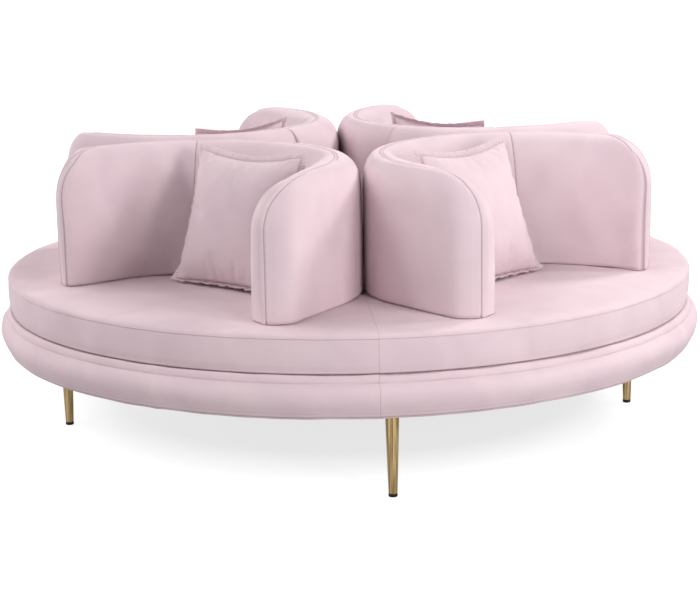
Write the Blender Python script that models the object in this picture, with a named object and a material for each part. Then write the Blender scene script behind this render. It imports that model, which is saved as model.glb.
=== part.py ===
"""Round sofa with four tub backs, built as a stack of separate pieces.

Units are metres, +Z is up and the origin is on the floor under the centre.
The sofa is four equal quarters round the Z axis. Every piece of a quarter is
modelled once, in the quarter that faces -Y, and the other three share its
mesh at 90 degree turns. In that quarter a plan point is written (out, side):
out is the distance from the centre towards -Y, side is the distance along +X.
"""
import math

import bmesh
import bpy
import numpy as np
from mathutils import Matrix, Vector

# Tiers, from the floor up
SEAT_RADIUS = 1.000
BASE_RADIUS = 1.027
BASE_BOTTOM = 0.253
BASE_TOP = 0.3635
SEAT_BOTTOM = 0.3665
SEAT_TOP = 0.474
SEAT_CROWN = 0.010
RIM_HEIGHT = 0.843
GAP = 0.0005
QUARTERS = 4
ARC_STEPS = 12

# Timber under the covers
BEAM_WIDTH = 0.180
BEAM_HALF_LENGTH = 0.925
BEAM_BOTTOM = 0.2625
BEAM_HEIGHT = 0.036
BOX_RADIUS = 0.956
BOX_WALL = 0.020
DECK_BOTTOM = 0.3415
DECK_TOP = 0.3535
BOARD_RADIUS = 0.950
BOARD_TOP = 0.372

# Tub back
BACK_CENTRE = 0.632
OUTER_ARC = 0.4445
SEAM_ARC = 0.382
TIP_OUT = 0.812
TIP_RADIUS = 0.172
TIP_DROP = 0.140
BACK_BOTTOM = SEAT_TOP + 0.001
ROLL_HEIGHT = 0.078
ROLL_SHARE = 0.92
SEAM_DROP = 0.003
FRAME_DEPTH = 0.028
FRAME_THICKNESS = 0.018
FRAME_TOP_DROP = 0.060
SLOT_CLEARANCE = 0.0015
TENON_WIDTH = 0.060
# Stations that carry a tenon: one in each arm and one in the middle
TENON_STATIONS = (5, 12, 19)

# Loose pillow
PILLOW_WIDTH = 0.400
PILLOW_HEIGHT = 0.388
PILLOW_THICKNESS = 0.130
PILLOW_FLANGE = 0.020
PILLOW_EDGE = 0.004
PILLOW_DRAW = 0.045
PILLOW_FOOT_HEIGHT = 0.478
PILLOW_STEPS = 8
# Where the foot of each pillow stands (out, side), then its turn and its lean in degrees
PILLOW_POSE = ((0.566, 0.040, 3.4, 19.0), (0.577, -0.033, -2.6, 19.5),
               (0.530, -0.015, -3.2, 17.0), (0.525, 0.020, -2.6, 18.0))

# Legs
LEG_RADIUS_TOP = 0.0193
LEG_RADIUS_BOTTOM = 0.0118
LEG_TOP = 0.2575
TIP_HEIGHT = 0.012
LEG_CIRCLE = 0.843
# Angle of each leg past the seam between two quarters
LEG_TURNS = (3.1, -1.3, 3.1, 3.1)
PLATE_SIDE = 0.090
PLATE_BOTTOM = 0.258
PLATE_THICKNESS = 0.004
STUD_RADIUS = 0.005
STUD_BOTTOM = 0.215
STUD_TOP = 0.292
HOLE_RADIUS = 0.0055
DUST_BOTTOM = 0.2603
DUST_THICKNESS = 0.0017
DUST_RADIUS = 0.953
DUST_HOLE_RADIUS = 0.072

# Outline points past the round stretch of the tub back, as (out, side)
OUTER_ARM = ((0.376, 0.371), (0.465, 0.416), (0.565, 0.443), (0.645, 0.457), (0.700, 0.460),
             (0.745, 0.448), (0.781, 0.419), (0.804, 0.378))
SEAM_ARM = ((0.500, 0.374), (0.600, 0.405), (0.670, 0.414), (0.730, 0.403), (0.776, 0.373), (0.797, 0.346))
INNER_PLAN = ((0.430, 0.000), (0.447, 0.120), (0.490, 0.205), (0.540, 0.250), (0.600, 0.278),
              (0.670, 0.300), (0.735, 0.316), (0.784, 0.335))
# Where the tub back is sliced, as a share of the way from the middle to the arm's tip
STATIONS = (0.0, 0.1, 0.2, 0.3, 0.4, 0.5, 0.6, 0.7, 0.79, 0.86, 0.92, 0.965, 1.0)


def material(name, colour, roughness, metallic=0.0):
    """One Principled material in a linear colour."""
    made = bpy.data.materials.new(name)
    made.use_nodes = True
    shader = made.node_tree.nodes["Principled BSDF"]
    shader.inputs["Base Color"].default_value = (*colour, 1.0)
    shader.inputs["Roughness"].default_value = roughness
    shader.inputs["Metallic"].default_value = metallic
    return made


def mesh_object(name, vertices, faces, finish, smooth_angle=40):
    """Object from points and faces, with its faces turned outwards."""
    mesh = bpy.data.meshes.new(name)
    work = bmesh.new()
    points = [work.verts.new(point) for point in vertices]
    for face in faces:
        work.faces.new([points[index] for index in face])
    bmesh.ops.recalc_face_normals(work, faces=work.faces[:])
    work.to_mesh(mesh)
    work.free()
    mesh.materials.append(finish)
    mesh.shade_smooth()
    mesh.set_sharp_from_angle(angle=math.radians(smooth_angle))
    made = bpy.data.objects.new(name, mesh)
    bpy.context.scene.collection.objects.link(made)
    return made


def loft(name, sections, finish):
    """Solid through closed sections of equal count, with a flat cap at each end."""
    sections = [np.asarray(section, dtype=float) for section in sections]
    count = len(sections[0])
    faces = []
    for row in range(len(sections) - 1):
        for index in range(count):
            after = (index + 1) % count
            faces.append((row * count + index, row * count + after,
                          (row + 1) * count + after, (row + 1) * count + index))
    faces.append(tuple(range(count)))
    faces.append(tuple(range((len(sections) - 1) * count, len(sections) * count)))
    return mesh_object(name, np.concatenate(sections), faces, finish)


def block(name, size, centre, finish, turn=0.0):
    """Box of the given size, turned about Z and then moved to its centre."""
    half = np.array(size) / 2
    square = ((-1, -1), (1, -1), (1, 1), (-1, 1))
    ends = [[(x * half[0], y * half[1], z * half[2]) for x, y in square] for z in (-1, 1)]
    made = loft(name, ends, finish)
    made.data.transform(Matrix.Translation(centre) @ Matrix.Rotation(turn, 4, "Z"))
    return made


def turned(name, profile, finish, centre=(0.0, 0.0), steps=20):
    """Solid of revolution: profile is (radius, height) from the bottom up."""
    rings = []
    for radius, height in profile:
        angles = np.arange(steps) * 2 * math.pi / steps
        rings.append(np.column_stack([centre[0] + radius * np.cos(angles),
                                      centre[1] + radius * np.sin(angles),
                                      np.full(steps, height)]))
    return loft(name, rings, finish)


def combine(target, tools, operation):
    """Boolean the tools into the target and remove them."""
    for tool in tools:
        change = target.modifiers.new("combine", "BOOLEAN")
        change.operation = operation
        change.object = tool
        change.solver = "EXACT"
    evaluated = target.evaluated_get(bpy.context.evaluated_depsgraph_get())
    result = bpy.data.meshes.new_from_object(evaluated)
    target.modifiers.clear()
    target.data = result
    for tool in tools:
        bpy.data.objects.remove(tool, do_unlink=True)
    return target


def plan_to_world(out, side, height):
    """Point of the quarter that faces -Y."""
    return (side, -out, height)


def quarter_copies(first, name):
    """Name the first piece and repeat it for the other quarters."""
    first.name = f"{name}_1"
    first.data.name = name
    for index in range(1, QUARTERS):
        copy = bpy.data.objects.new(f"{name}_{index + 1}", first.data)
        copy.rotation_euler.z = index * math.pi / 2
        bpy.context.scene.collection.objects.link(copy)


def sector(name, profile_at, finish):
    """Quarter of a ring: profile_at(angle) gives (radius, height) points.

    The quarter is moved out along its own axis by the gap, which leaves the
    same thin gap to its neighbours all the way from the centre to the rim.
    """
    sections = []
    for angle in np.linspace(-math.pi / 4, math.pi / 4, ARC_STEPS + 1):
        sections.append([plan_to_world(radius * math.cos(angle) + GAP, radius * math.sin(angle), height)
                         for radius, height in profile_at(angle)])
    return loft(name, sections, finish)


def plain_sector(name, inner, outer, bottom, top, finish):
    """Quarter of a flat ring or disc."""
    return sector(name, lambda angle: ((inner, bottom), (outer, bottom), (outer, top), (inner, top)), finish)


def rim_height(out):
    """Height of the back's rim: level, then a quarter ellipse down to the arm's tip."""
    reach = min(max((out - (TIP_OUT - TIP_RADIUS)) / TIP_RADIUS, 0.0), 1.0)
    return RIM_HEIGHT - TIP_DROP * (1 - math.sqrt(1 - reach * reach))


def arc_points(radius, last_degrees, count):
    """Plan points of the round stretch, from the middle of the back outwards."""
    angles = np.radians(np.linspace(0, last_degrees, count))
    return [(BACK_CENTRE - radius * math.cos(angle), radius * math.sin(angle)) for angle in angles]


def plan_curve(points):
    """Smooth curve through half an outline, read at the stations of both halves.

    The curve is a Catmull-Rom spline through the mirrored outline, and a
    station is a share of its length from the middle.
    """
    half = np.array(points, dtype=float)
    mirrored = half[1] * (1, -1)
    padded = np.vstack([mirrored, half, 2 * half[-1] - half[-2]])
    fine = []
    for index in range(1, len(padded) - 2):
        before, start, end, after = padded[index - 1:index + 3]
        for step in np.linspace(0, 1, 12, endpoint=False):
            fine.append(0.5 * (2 * start + (end - before) * step
                               + (2 * before - 5 * start + 4 * end - after) * step ** 2
                               + (3 * start - before - 3 * end + after) * step ** 3))
    fine = np.array(fine + [half[-1]])
    lengths = np.concatenate([[0], np.cumsum(np.linalg.norm(np.diff(fine, axis=0), axis=1))])
    share = np.array(STATIONS) * lengths[-1]
    right = np.column_stack([np.interp(share, lengths, fine[:, axis]) for axis in (0, 1)])
    left = right[:0:-1] * (1, -1)
    return np.vstack([left, right])


def back_plans():
    """Outer face, top seam and foot of the inner face, station by station."""
    outer = plan_curve(arc_points(OUTER_ARC, 44, 5) + list(OUTER_ARM))
    seam = plan_curve(arc_points(SEAM_ARC, 56, 6) + list(SEAM_ARM))
    inner = plan_curve(INNER_PLAN)
    return outer, seam, inner


def shell_section(outer, seam):
    """Section of the back's outer shell: upright face, rolled rim, seam, upright inside."""
    width = np.linalg.norm(seam - outer)
    toward = (seam - outer) / width
    roll = ROLL_SHARE * width
    profile = [(0.0, None), (0.0, ROLL_HEIGHT)]
    for degrees in (30, 60, 90):
        angle = math.radians(degrees)
        profile.append((roll * (1 - math.cos(angle)), ROLL_HEIGHT * (1 - math.sin(angle))))
    profile += [(width - GAP, SEAM_DROP), (width - GAP, None)]
    section = []
    for depth, drop in profile:
        out, side = outer + toward * depth
        height = BACK_BOTTOM if drop is None else rim_height(out) - drop
        section.append(plan_to_world(out, side, height))
    return section


def pad_section(seam, inner, arm_share):
    """Section of the inner pad: a slope behind the sitter, a fuller roll on the arms."""
    down = (0.0, 0.05, 0.12, 0.25, 0.45, 0.70, 1.0)
    slope = (0.10, 0.24, 0.36, 0.50, 0.68, 0.87, 1.00)
    roll = (0.12, 0.46, 0.68, 0.88, 1.00, 1.03, 1.00)
    toward = inner - seam
    start = seam + toward / np.linalg.norm(toward) * GAP
    section = [plan_to_world(*start, BACK_BOTTOM), plan_to_world(*start, rim_height(start[0]) - 2 * SEAM_DROP)]
    for fall, back, arm in zip(down, slope, roll):
        out, side = seam + toward * (back + (arm - back) * arm_share)
        top = rim_height(out) - 2 * SEAM_DROP
        section.append(plan_to_world(out, side, top + (BACK_BOTTOM - top) * fall))
    return section


def strip_section(outer, seam, near, far, bottom, top_drop):
    """Section of an upright strip inside the shell, between two depths from its outer face."""
    toward = (seam - outer) / np.linalg.norm(seam - outer)
    corners = []
    for depth in (near, far):
        out, side = outer + toward * depth
        top = rim_height(out) - top_drop
        corners.append(((out, side), top))
    (first, first_top), (second, second_top) = corners
    return [plan_to_world(*first, bottom), plan_to_world(*first, first_top),
            plan_to_world(*second, second_top), plan_to_world(*second, bottom)]


def tenon_places(outer, seam):
    """Centre and heading of the three tenons, in the strip's middle line."""
    places = []
    for index in TENON_STATIONS:
        toward = (seam[index] - outer[index]) / np.linalg.norm(seam[index] - outer[index])
        out, side = outer[index] + toward * FRAME_DEPTH
        along = outer[index + 1] - outer[index - 1]
        heading = math.atan2(-along[0], along[1])
        places.append(((side, -out), heading))
    return places


def tenon_blocks(places, finish, bottom, top, clearance):
    """Upright boxes at the tenons, grown by the clearance on every side."""
    size = (TENON_WIDTH + 2 * clearance, FRAME_THICKNESS + 2 * clearance, top - bottom)
    return [block("tenon", size, (*centre, (top + bottom) / 2), finish, heading)
            for centre, heading in places]


def build_back(velvet, timber):
    """Outer shell, plywood frame and inner pad of one tub back; returns the tenons' places."""
    outer, seam, inner = back_plans()
    stations = range(len(outer))
    places = tenon_places(outer, seam)

    half = FRAME_THICKNESS / 2
    framed = stations[3:-3]
    slot = loft("slot", [strip_section(outer[i], seam[i], FRAME_DEPTH - half - SLOT_CLEARANCE,
                                       FRAME_DEPTH + half + SLOT_CLEARANCE, BACK_BOTTOM - 0.01,
                                       FRAME_TOP_DROP - SLOT_CLEARANCE) for i in stations[2:-2]], timber)
    shell = loft("back_shell", [shell_section(outer[i], seam[i]) for i in stations], velvet)
    quarter_copies(combine(shell, [slot], "DIFFERENCE"), "back_shell")

    frame = loft("back_frame", [strip_section(outer[i], seam[i], FRAME_DEPTH - half, FRAME_DEPTH + half,
                                              SEAT_TOP + GAP, FRAME_TOP_DROP) for i in framed], timber)
    tenons = tenon_blocks(places, timber, DECK_TOP + GAP, SEAT_TOP + 0.0009, -0.0002)
    quarter_copies(combine(frame, tenons, "UNION"), "back_frame")

    arm_share = [min(max((abs(i - 12) - 3) / 4, 0.0), 1.0) for i in stations]
    pad = loft("back_pad", [pad_section(seam[i], inner[i], arm_share[i]) for i in stations], velvet)
    quarter_copies(pad, "back_pad")
    return places


def crown(out, side):
    """Rise of the seat between the arms: a dome that dies out at the arms and the edge."""
    along = max(0.0, 1 - ((out - 0.745) / 0.215) ** 2)
    across = max(0.0, 1 - (side / 0.25) ** 2)
    return SEAT_CROWN * along * across


def seat_profile(angle):
    """Seat cushion in section: drawn in under a full side, rolled edge, crowned top."""
    rim = ((BOARD_RADIUS + GAP, BOARD_TOP + GAP), (BOARD_RADIUS + GAP, SEAT_BOTTOM), (0.980, SEAT_BOTTOM),
           (0.990, 0.372), (0.9985, 0.393), (1.000, 0.425), (0.9985, 0.452), (0.990, 0.465),
           (0.972, 0.472), (0.940, SEAT_TOP))
    top = [(radius, SEAT_TOP + crown(radius * math.cos(angle), radius * math.sin(angle)))
           for radius in (0.88, 0.80, 0.71, 0.62, 0.53, 0.002)]
    return [*rim, *top, (0.002, BOARD_TOP + GAP)]


def base_profile(angle):
    """Base cover in section: flat where it is stapled, full side, sloped shoulder."""
    return ((BOX_RADIUS + GAP, BASE_BOTTOM), (0.990, BASE_BOTTOM), (1.001, 0.256), (1.012, 0.272),
            (1.024, 0.293), (BASE_RADIUS, 0.312), (1.022, 0.331), (1.008, 0.347),
            (0.992, 0.358), (0.970, BASE_TOP), (BOX_RADIUS + GAP, BASE_TOP))


def build_seat(velvet, timber, tenons):
    """Seat cushion and its board, each with a mortise for every tenon of the back."""
    cushion = sector("seat_cushion", seat_profile, velvet)
    cutters = tenon_blocks(tenons, timber, BOARD_TOP - 0.01, SEAT_TOP + 0.02, SLOT_CLEARANCE)
    quarter_copies(combine(cushion, cutters, "DIFFERENCE"), "seat_cushion")
    board = plain_sector("seat_board", 0.002, BOARD_RADIUS, DECK_TOP + GAP, BOARD_TOP, timber)
    cutters = tenon_blocks(tenons, timber, DECK_TOP - 0.01, BOARD_TOP + 0.01, SLOT_CLEARANCE)
    quarter_copies(combine(board, cutters, "DIFFERENCE"), "seat_board")


def build_base(velvet, timber):
    """Open-bottomed plywood box of a quarter, and the padded cover round its rim."""
    box = plain_sector("base_box", 0.002, BOX_RADIUS, DECK_BOTTOM, DECK_TOP, timber)
    overlap = 0.004
    rim = plain_sector("rim", BOX_RADIUS - BOX_WALL, BOX_RADIUS, BEAM_BOTTOM, DECK_BOTTOM + overlap, timber)
    rail_bottom = BEAM_BOTTOM + BEAM_HEIGHT + GAP
    rail_start = 0.12
    rail_length = BOX_RADIUS - BOX_WALL / 2 - rail_start
    rails = []
    for sign in (-1, 1):
        along = rail_start + rail_length / 2
        inward = BOX_WALL / 2 + 2 * GAP
        out = (along + inward) * math.sqrt(0.5)
        side = sign * (along - inward) * math.sqrt(0.5)
        rails.append(block("rail", (rail_length, BOX_WALL, DECK_BOTTOM + overlap - rail_bottom),
                           (side, -out, (DECK_BOTTOM + overlap + rail_bottom) / 2), timber, -sign * math.pi / 4))
    quarter_copies(combine(box, [rim, *rails], "UNION"), "base_box")
    quarter_copies(sector("base_cover", base_profile, velvet), "base_cover")


def leg_places():
    """Plan centre of each leg and the heading of the beam above it."""
    places = []
    for index, turn in enumerate(LEG_TURNS):
        beam = math.radians(45 + 90 * index)
        angle = beam + math.radians(turn)
        centre = (LEG_CIRCLE * math.sin(angle), -LEG_CIRCLE * math.cos(angle))
        places.append((centre, beam - math.pi / 2))
    return places


def build_beams(timber, places):
    """Two crossed beams, half lapped in the middle and drilled for the leg studs."""
    for index, name in enumerate(("cross_beam_lower", "cross_beam_upper")):
        turn = -math.pi / 4 if index == 0 else math.pi / 4
        beam = block(name, (2 * BEAM_HALF_LENGTH, BEAM_WIDTH, BEAM_HEIGHT),
                     (0, 0, BEAM_BOTTOM + BEAM_HEIGHT / 2), timber, turn)
        lap = BEAM_HEIGHT / 2 + 2 * GAP
        lap_height = BEAM_BOTTOM + BEAM_HEIGHT - lap / 2 + GAP if index == 0 else BEAM_BOTTOM + lap / 2 - GAP
        notch = block("notch", (BEAM_WIDTH + 2 * GAP, BEAM_WIDTH + 0.02, lap), (0, 0, lap_height), timber, turn)
        holes = [turned("hole", ((HOLE_RADIUS, BEAM_BOTTOM - 0.01), (HOLE_RADIUS, STUD_TOP + 0.001)),
                        timber, centre, 12) for centre, heading in places[index::2]]
        combine(beam, [notch, *holes], "DIFFERENCE")


def build_legs(brass, plastic, steel, places):
    """Four tapered legs, each with its foot tip, fixing plate and threaded stud."""
    for index, (centre, heading) in enumerate(places, start=1):
        socket = turned("socket", ((HOLE_RADIUS, STUD_BOTTOM - 0.001), (HOLE_RADIUS, LEG_TOP + 0.01)),
                        brass, centre, 12)
        leg = turned(f"leg_{index}", ((LEG_RADIUS_BOTTOM, TIP_HEIGHT + GAP), (LEG_RADIUS_TOP, LEG_TOP)),
                     brass, centre, 24)
        combine(leg, [socket], "DIFFERENCE")
        turned(f"foot_tip_{index}", ((0.0100, 0.0), (0.0120, 0.002), (0.0120, TIP_HEIGHT)),
               plastic, centre, 24)
        turned(f"leg_stud_{index}", ((STUD_RADIUS, STUD_BOTTOM), (STUD_RADIUS, STUD_TOP)), steel, centre, 12)
        bore = turned("bore", ((HOLE_RADIUS, PLATE_BOTTOM - 0.01), (HOLE_RADIUS, BEAM_BOTTOM + 0.01)),
                      steel, centre, 12)
        plate = block(f"leg_plate_{index}", (PLATE_SIDE, PLATE_SIDE, PLATE_THICKNESS),
                      (*centre, PLATE_BOTTOM + PLATE_THICKNESS / 2), steel, heading)
        combine(plate, [bore], "DIFFERENCE")


def build_dust_cover(lining, places):
    """Thin cloth under the frame, cut out round each leg plate."""
    cover = turned("dust_cover", ((DUST_RADIUS, DUST_BOTTOM), (DUST_RADIUS, DUST_BOTTOM + DUST_THICKNESS)),
                   lining, steps=64)
    holes = [turned("hole", ((DUST_HOLE_RADIUS, DUST_BOTTOM - 0.01), (DUST_HOLE_RADIUS, BEAM_BOTTOM + 0.01)),
                    lining, centre, 24) for centre, heading in places]
    combine(cover, holes, "DIFFERENCE")


def pillow_mesh(velvet):
    """Square knife-edged pillow about its own centre, in its XZ plane.

    Both faces swell as a power of the distance to the sides, the sides are
    drawn in between the corners, and a flat flange runs all round.
    """
    inner = 1 - 2 * PILLOW_FLANGE / PILLOW_WIDTH
    spread = inner * np.sin(np.linspace(-math.pi / 2, math.pi / 2, PILLOW_STEPS - 1))
    ticks = np.concatenate([[-1], spread, [1]])
    across, up = np.meshgrid(ticks, ticks, indexing="ij")
    flat_u = np.clip(across / inner, -1, 1)
    flat_v = np.clip(up / inner, -1, 1)
    swell = ((1 - flat_u ** 2) * (1 - flat_v ** 2)) ** 0.45
    depth = PILLOW_EDGE / 2 + (PILLOW_THICKNESS - PILLOW_EDGE) / 2 * swell
    wide = PILLOW_WIDTH / 2 * across * (1 - PILLOW_DRAW * (1 - up ** 2))
    tall = PILLOW_HEIGHT / 2 * up * (1 - PILLOW_DRAW * (1 - across ** 2))
    size = len(ticks)
    front = np.column_stack([wide.ravel(), -depth.ravel(), tall.ravel()])
    rear = np.column_stack([wide.ravel(), depth.ravel(), tall.ravel()])
    faces = []
    for i in range(size - 1):
        for j in range(size - 1):
            corner = i * size + j
            quad = (corner, corner + 1, corner + size + 1, corner + size)
            faces.append(quad)
            faces.append(tuple(index + size * size for index in reversed(quad)))
    edge = [i * size for i in range(size)] + [(size - 1) * size + j for j in range(1, size)]
    edge += [i * size + size - 1 for i in range(size - 2, -1, -1)] + [j for j in range(size - 2, 0, -1)]
    for first, second in zip(edge, edge[1:] + edge[:1]):
        faces.append((first, second, second + size * size, first + size * size))
    return mesh_object("pillow_1", np.vstack([front, rear]), faces, velvet, smooth_angle=60)


def build_pillows(velvet):
    """Each pillow stands on the seat and leans on the back, at its own small turn."""
    first = pillow_mesh(velvet)
    for index, (out, side, turn, tilt) in enumerate(PILLOW_POSE):
        pillow = first if index == 0 else bpy.data.objects.new(f"pillow_{index + 1}", first.data)
        if index:
            bpy.context.scene.collection.objects.link(pillow)
        tilt = math.radians(tilt)
        rise = PILLOW_HEIGHT / 2 * math.cos(tilt)
        lean = PILLOW_HEIGHT / 2 * math.sin(tilt)
        quarter = Matrix.Rotation(index * math.pi / 2, 4, "Z")
        place = Matrix.Translation((side, -(out - lean), PILLOW_FOOT_HEIGHT + rise))
        pose = quarter @ place @ Matrix.Rotation(math.radians(turn), 4, "Z") @ Matrix.Rotation(-tilt, 4, "X")
        pillow.location = pose.to_translation()
        pillow.rotation_euler = pose.to_euler()


def main():
    for old in list(bpy.data.objects):
        bpy.data.objects.remove(old, do_unlink=True)
    velvet = material("velvet", (0.70, 0.52, 0.56), 0.85)
    timber = material("timber", (0.55, 0.38, 0.22), 0.7)
    brass = material("brushed_brass", (0.52, 0.38, 0.16), 0.3, 1.0)
    plastic = material("black_plastic", (0.02, 0.02, 0.02), 0.5)
    steel = material("zinc_steel", (0.6, 0.6, 0.6), 0.4, 1.0)
    lining = material("black_lining", (0.03, 0.03, 0.03), 0.9)

    legs = leg_places()
    build_legs(brass, plastic, steel, legs)
    build_beams(timber, legs)
    build_dust_cover(lining, legs)
    build_base(velvet, timber)
    tenons = build_back(velvet, timber)
    build_seat(velvet, timber, tenons)
    build_pillows(velvet)


main()
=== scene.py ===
"""Dresses the round sofa: velvet upholstery with its seams, loose pillows, brass legs and a plain studio.

All lengths are metres. A quarter's plan point is (out, side): out is the distance from the centre
towards the way that the quarter faces, side is the distance to its right-hand arm (its left for -).
"""

import math
from collections import namedtuple

import bmesh
import bpy
import numpy as np
from bpy.props import FloatProperty, FloatVectorProperty, PointerProperty
from mathutils import Matrix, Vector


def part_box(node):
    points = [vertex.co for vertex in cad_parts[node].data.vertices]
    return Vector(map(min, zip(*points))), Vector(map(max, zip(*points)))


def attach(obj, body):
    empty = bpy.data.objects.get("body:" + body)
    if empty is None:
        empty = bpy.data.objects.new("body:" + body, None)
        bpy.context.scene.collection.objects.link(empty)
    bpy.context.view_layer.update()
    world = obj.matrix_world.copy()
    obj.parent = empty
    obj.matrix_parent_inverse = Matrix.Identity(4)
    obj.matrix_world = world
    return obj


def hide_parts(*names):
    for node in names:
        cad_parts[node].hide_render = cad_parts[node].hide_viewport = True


bl_info = {
    "name": "Round Sofa",
    "version": (1, 0, 0),
    "blender": (4, 5, 0),
    "location": "3D View > Sidebar > Round Sofa",
    "description": "Round sofa with four velvet tub backs, loose pillows and tapered brass legs",
    "category": "Add Mesh",
}

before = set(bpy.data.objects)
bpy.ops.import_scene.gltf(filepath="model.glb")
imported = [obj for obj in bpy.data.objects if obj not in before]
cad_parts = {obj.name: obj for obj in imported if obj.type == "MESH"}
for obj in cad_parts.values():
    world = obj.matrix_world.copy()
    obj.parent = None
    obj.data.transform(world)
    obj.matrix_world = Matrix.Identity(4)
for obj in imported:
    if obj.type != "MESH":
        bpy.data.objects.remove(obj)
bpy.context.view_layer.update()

QUARTERS = (1, 2, 3, 4)
HALF_QUARTER = math.pi / 4
UP = np.array([0, 0, 1])
SEAT_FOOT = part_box("seat_cushion_1")[0][2]
BASE_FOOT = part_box("base_cover_1")[0][2]
BACK_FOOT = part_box("back_shell_1")[0][2]
SEAT_TOP = BACK_FOOT - 0.001

# Tub back: the centre that its round stretch turns about, and the radii of its seams there
BACK_CENTRE = 0.632
OUTER_SEAM_ARC = 0.389
INNER_SEAM_ARC = 0.381
# Radius of the solids' round stretch; what an arm's radius has to spare over it also shifts the next point
SOLID_RADIUS = 0.4445
# Height of the sewn rim, the height at which its fall has turned upright, and that of an arm's top corner
RIM_SEAM = 0.8385
RIM_FALL_HEIGHT = 0.700
RIM_POWER = 2.3
CORNER_HEIGHT = 0.808
# Height over which the outer panel rolls over to its seam
ROLL_HEIGHT = 0.078
# An arm: its outer and its inner seam, each as the foot's out and side and how far out the rim starts to fall,
# the radius of its half of the round stretch, and how full its corner is stuffed (0 slim, 1 full, more beyond)
Arm = namedtuple("Arm", "outer inner radius full")
USUAL_ARM = Arm((0.803, 0.417, 0.660), (0.797, 0.350, 0.620), 0.4425, 0.6)
# Left and right arm of each quarter
ARMS = {1: (Arm((0.768, 0.398, 0.645), (0.792, 0.352, 0.610), 0.4402, 0.0),
            Arm((0.811, 0.426, 0.560), (0.784, 0.357, 0.510), 0.4476, 1.5)),
        2: (Arm((0.812, 0.428, 0.650), (0.804, 0.364, 0.550), 0.4330, 1.5),
            Arm((0.788, 0.396, 0.660), (0.815, 0.336, 0.640), 0.4398, 0.1)),
        3: (Arm((0.791, 0.411, 0.650), (0.790, 0.349, 0.610), 0.4398, 0.4), USUAL_ARM._replace(radius=0.4305)),
        4: (USUAL_ARM._replace(radius=0.4509), Arm((0.777, 0.400, 0.685), (0.784, 0.350, 0.650), 0.4402, 0.2))}
# Stretch of an outer seam, as shares of the outline, where the stuffing fills its groove and takes SOFT_LOSS of
# its depth; NO_STRETCH lies beyond the outline
SOFT_SEAM = {1: (0.50, 0.92)}
NO_STRETCH = (2.0, 3.0)
SOFT_LOSS = 0.75
# Where the inner panels are sewn together, as the share of the way from the middle of the back to the arm's front
INNER_JOIN = {1: 0.408, 2: 0.440, 3: 0.430, 4: 0.430}
# Distances of the border band's lines from a seam, and which of them runs along the foot of the rib
BAND_STEPS = (0, 0.0010, 0.0022, 0.0040, 0.0070, 0.0100, 0.0114, 0.0124, 0.0134, 0.0160)
RIB_EDGE = 8
# Distances from the outer seam between which the rib's side falls, and its height
RIB_SIDE = (0.0112, 0.0130)
RIB_HEIGHT = 0.0022
# Where the velvet turns under at the foot of a back: how far it curls in, and over what height
CURL_DEPTH = 0.0035
CURL_HEIGHT = 0.010

# How far the stuffing of each base cover swells up in front of the seat
SHOULDER_PUFF = {1: 0.0034, 2: 0.0014, 3: 0.0014, 4: 0.0034}
# Reach of the painted shade beside a seam and of the mark of a stitch, and how strong the painted shade is at a
# faint seam
SEAM_REACH = 0.0017
FAINT = 0.45
# Points closer than this are sewn into one
SEWN = 2e-5

# Foot of each pillow (out, side), its turn and its lean in degrees, as the frame has them
PILLOW_POSE = ((0.566, 0.040, 3.4, 19.0), (0.577, -0.033, -2.6, 19.5),
               (0.530, -0.015, -3.2, 17.0), (0.525, 0.020, -2.6, 18.0))
PILLOW_FOOT_HEIGHT = 0.478
# Share that is kept of what a pillow would reach below its foot height, so that it settles flat
PILLOW_SINK = 0.02
# Frames of the cloth simulation that fills the pillow case
SIMULATED_FRAMES = 30
# How far the brass of a leg reaches down over its foot tip
FERRULE = 0.0032

# Studio light, as azimuth in degrees to the right of the camera, elevation in degrees and strength: wide
# glows of the surroundings by their brightness, and square softboxes by their watts
GLOWS = ((-160, 8, 1.70), (-120, 36, 3.10), (-60, 36, 1.20), (-40, 8, 0.90))
# Glows fall off as the cosine of the angle from their middle to this power
GLOW_POWER = 8.0
SOFTBOXES = (("low_softbox", 30, 10, 82), ("key_softbox", 45, 24, 82), ("right_softbox", 90, 38, 74),
             ("rear_softbox", 120, 38, 133), ("left_softbox", -60, 35, 28), ("front_softbox", -14, 42, 5))
# Distance of the softboxes from the point that they are aimed at, its height over the floor, and their width
SOFTBOX_REACH = 5.2
SOFTBOX_AIM = 0.5
SOFTBOX_SIZE = 1.0
FLOOR_HALF = 30.0

# Camera of the photograph, found from the round tiers and the legs
CAMERA_DISTANCE = 5.424
CAMERA_HEIGHT = 1.513
CAMERA_AZIMUTH = math.radians(40.90)
CAMERA_YAW = math.radians(0.03)
CAMERA_PITCH = math.radians(12.19)
CAMERA_ROLL = math.radians(-0.94)
CAMERA_LENS = 95.38


def linear(code):
    """Linear colour of an sRGB hex value."""
    parts = [int(code[i:i + 2], 16) / 255 for i in (1, 3, 5)]
    return tuple(part / 12.92 if part <= 0.04045 else ((part + 0.055) / 1.055) ** 2.4 for part in parts)


def length(name, description, default, low, high):
    """Property for a length in metres."""
    return FloatProperty(name=name, description=description, default=default, min=low, max=high, unit="LENGTH")


def colour(name, description, code):
    """Property for a colour, from its sRGB hex value."""
    return FloatVectorProperty(name=name, description=description, subtype="COLOR", size=3, min=0, max=1,
                               default=linear(code))


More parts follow.
